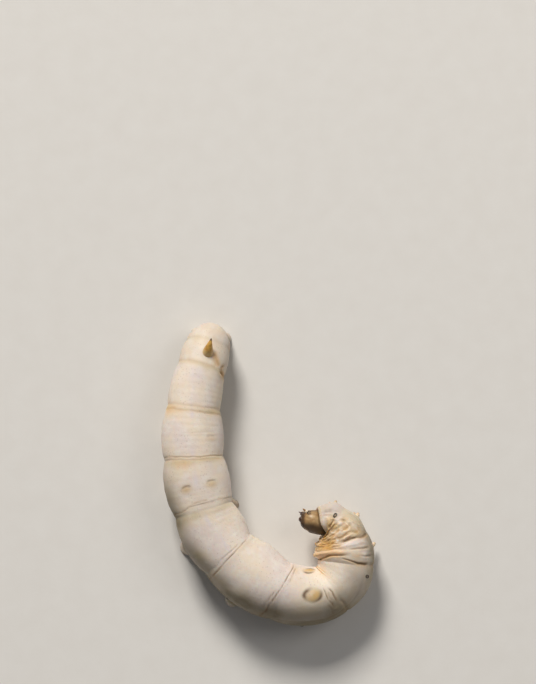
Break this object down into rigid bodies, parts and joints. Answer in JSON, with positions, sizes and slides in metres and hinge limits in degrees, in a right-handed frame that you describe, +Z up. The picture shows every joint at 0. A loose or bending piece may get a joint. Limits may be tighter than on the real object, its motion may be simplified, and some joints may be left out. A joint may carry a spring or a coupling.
{
  "type": "silkworm",
  "caption": "Full-grown white silkworm larva curled on its belly, with thoracic legs, prolegs, tail horn and brown head.",
  "frame": {"origin": "centre of the bounding box, on the floor under the soles", "axes": "+X to the picture's right, +Y to the picture's top, where the tail end lies, +Z up from the floor"},
  "size_m": [0.032, 0.045, 0.0104],
  "materials": {
    "skin": "soft satin skin, pale pinkish cream",
    "head_shell": "smooth horny shell, tan to brown, low gloss",
    "mouth": "hard dark red-brown, glossy",
    "antenna": "pale cream, satin",
    "horn": "orange-brown, darker at the tip, satin"
  },
  "bodies": {
    "root": {"head": "head_shell", "mandible_left": "mouth", "mandible_right": "mouth", "labium": "mouth", "antenna_left": "antenna", "antenna_right": "antenna", "prothorax": "skin", "mesothorax": "skin", "metathorax": "skin", "abdomen_1": "skin", "abdomen_2": "skin", "abdomen_3": "skin", "abdomen_4": "skin", "abdomen_5": "skin", "abdomen_6": "skin", "abdomen_7": "skin", "abdomen_8": "skin", "abdomen_9": "skin", "abdomen_10": "skin", "leg_prothorax_left": "skin", "leg_prothorax_right": "skin", "leg_mesothorax_left": "skin", "leg_mesothorax_right": "skin", "leg_metathorax_left": "skin", "leg_metathorax_right": "skin", "proleg_3_left": "skin", "proleg_3_right": "skin", "proleg_4_left": "skin", "proleg_4_right": "skin", "proleg_5_left": "skin", "proleg_5_right": "skin", "proleg_6_left": "skin", "proleg_6_right": "skin", "clasper_left": "skin", "clasper_right": "skin", "tail_horn": "horn"}
  },
  "joints": []
}
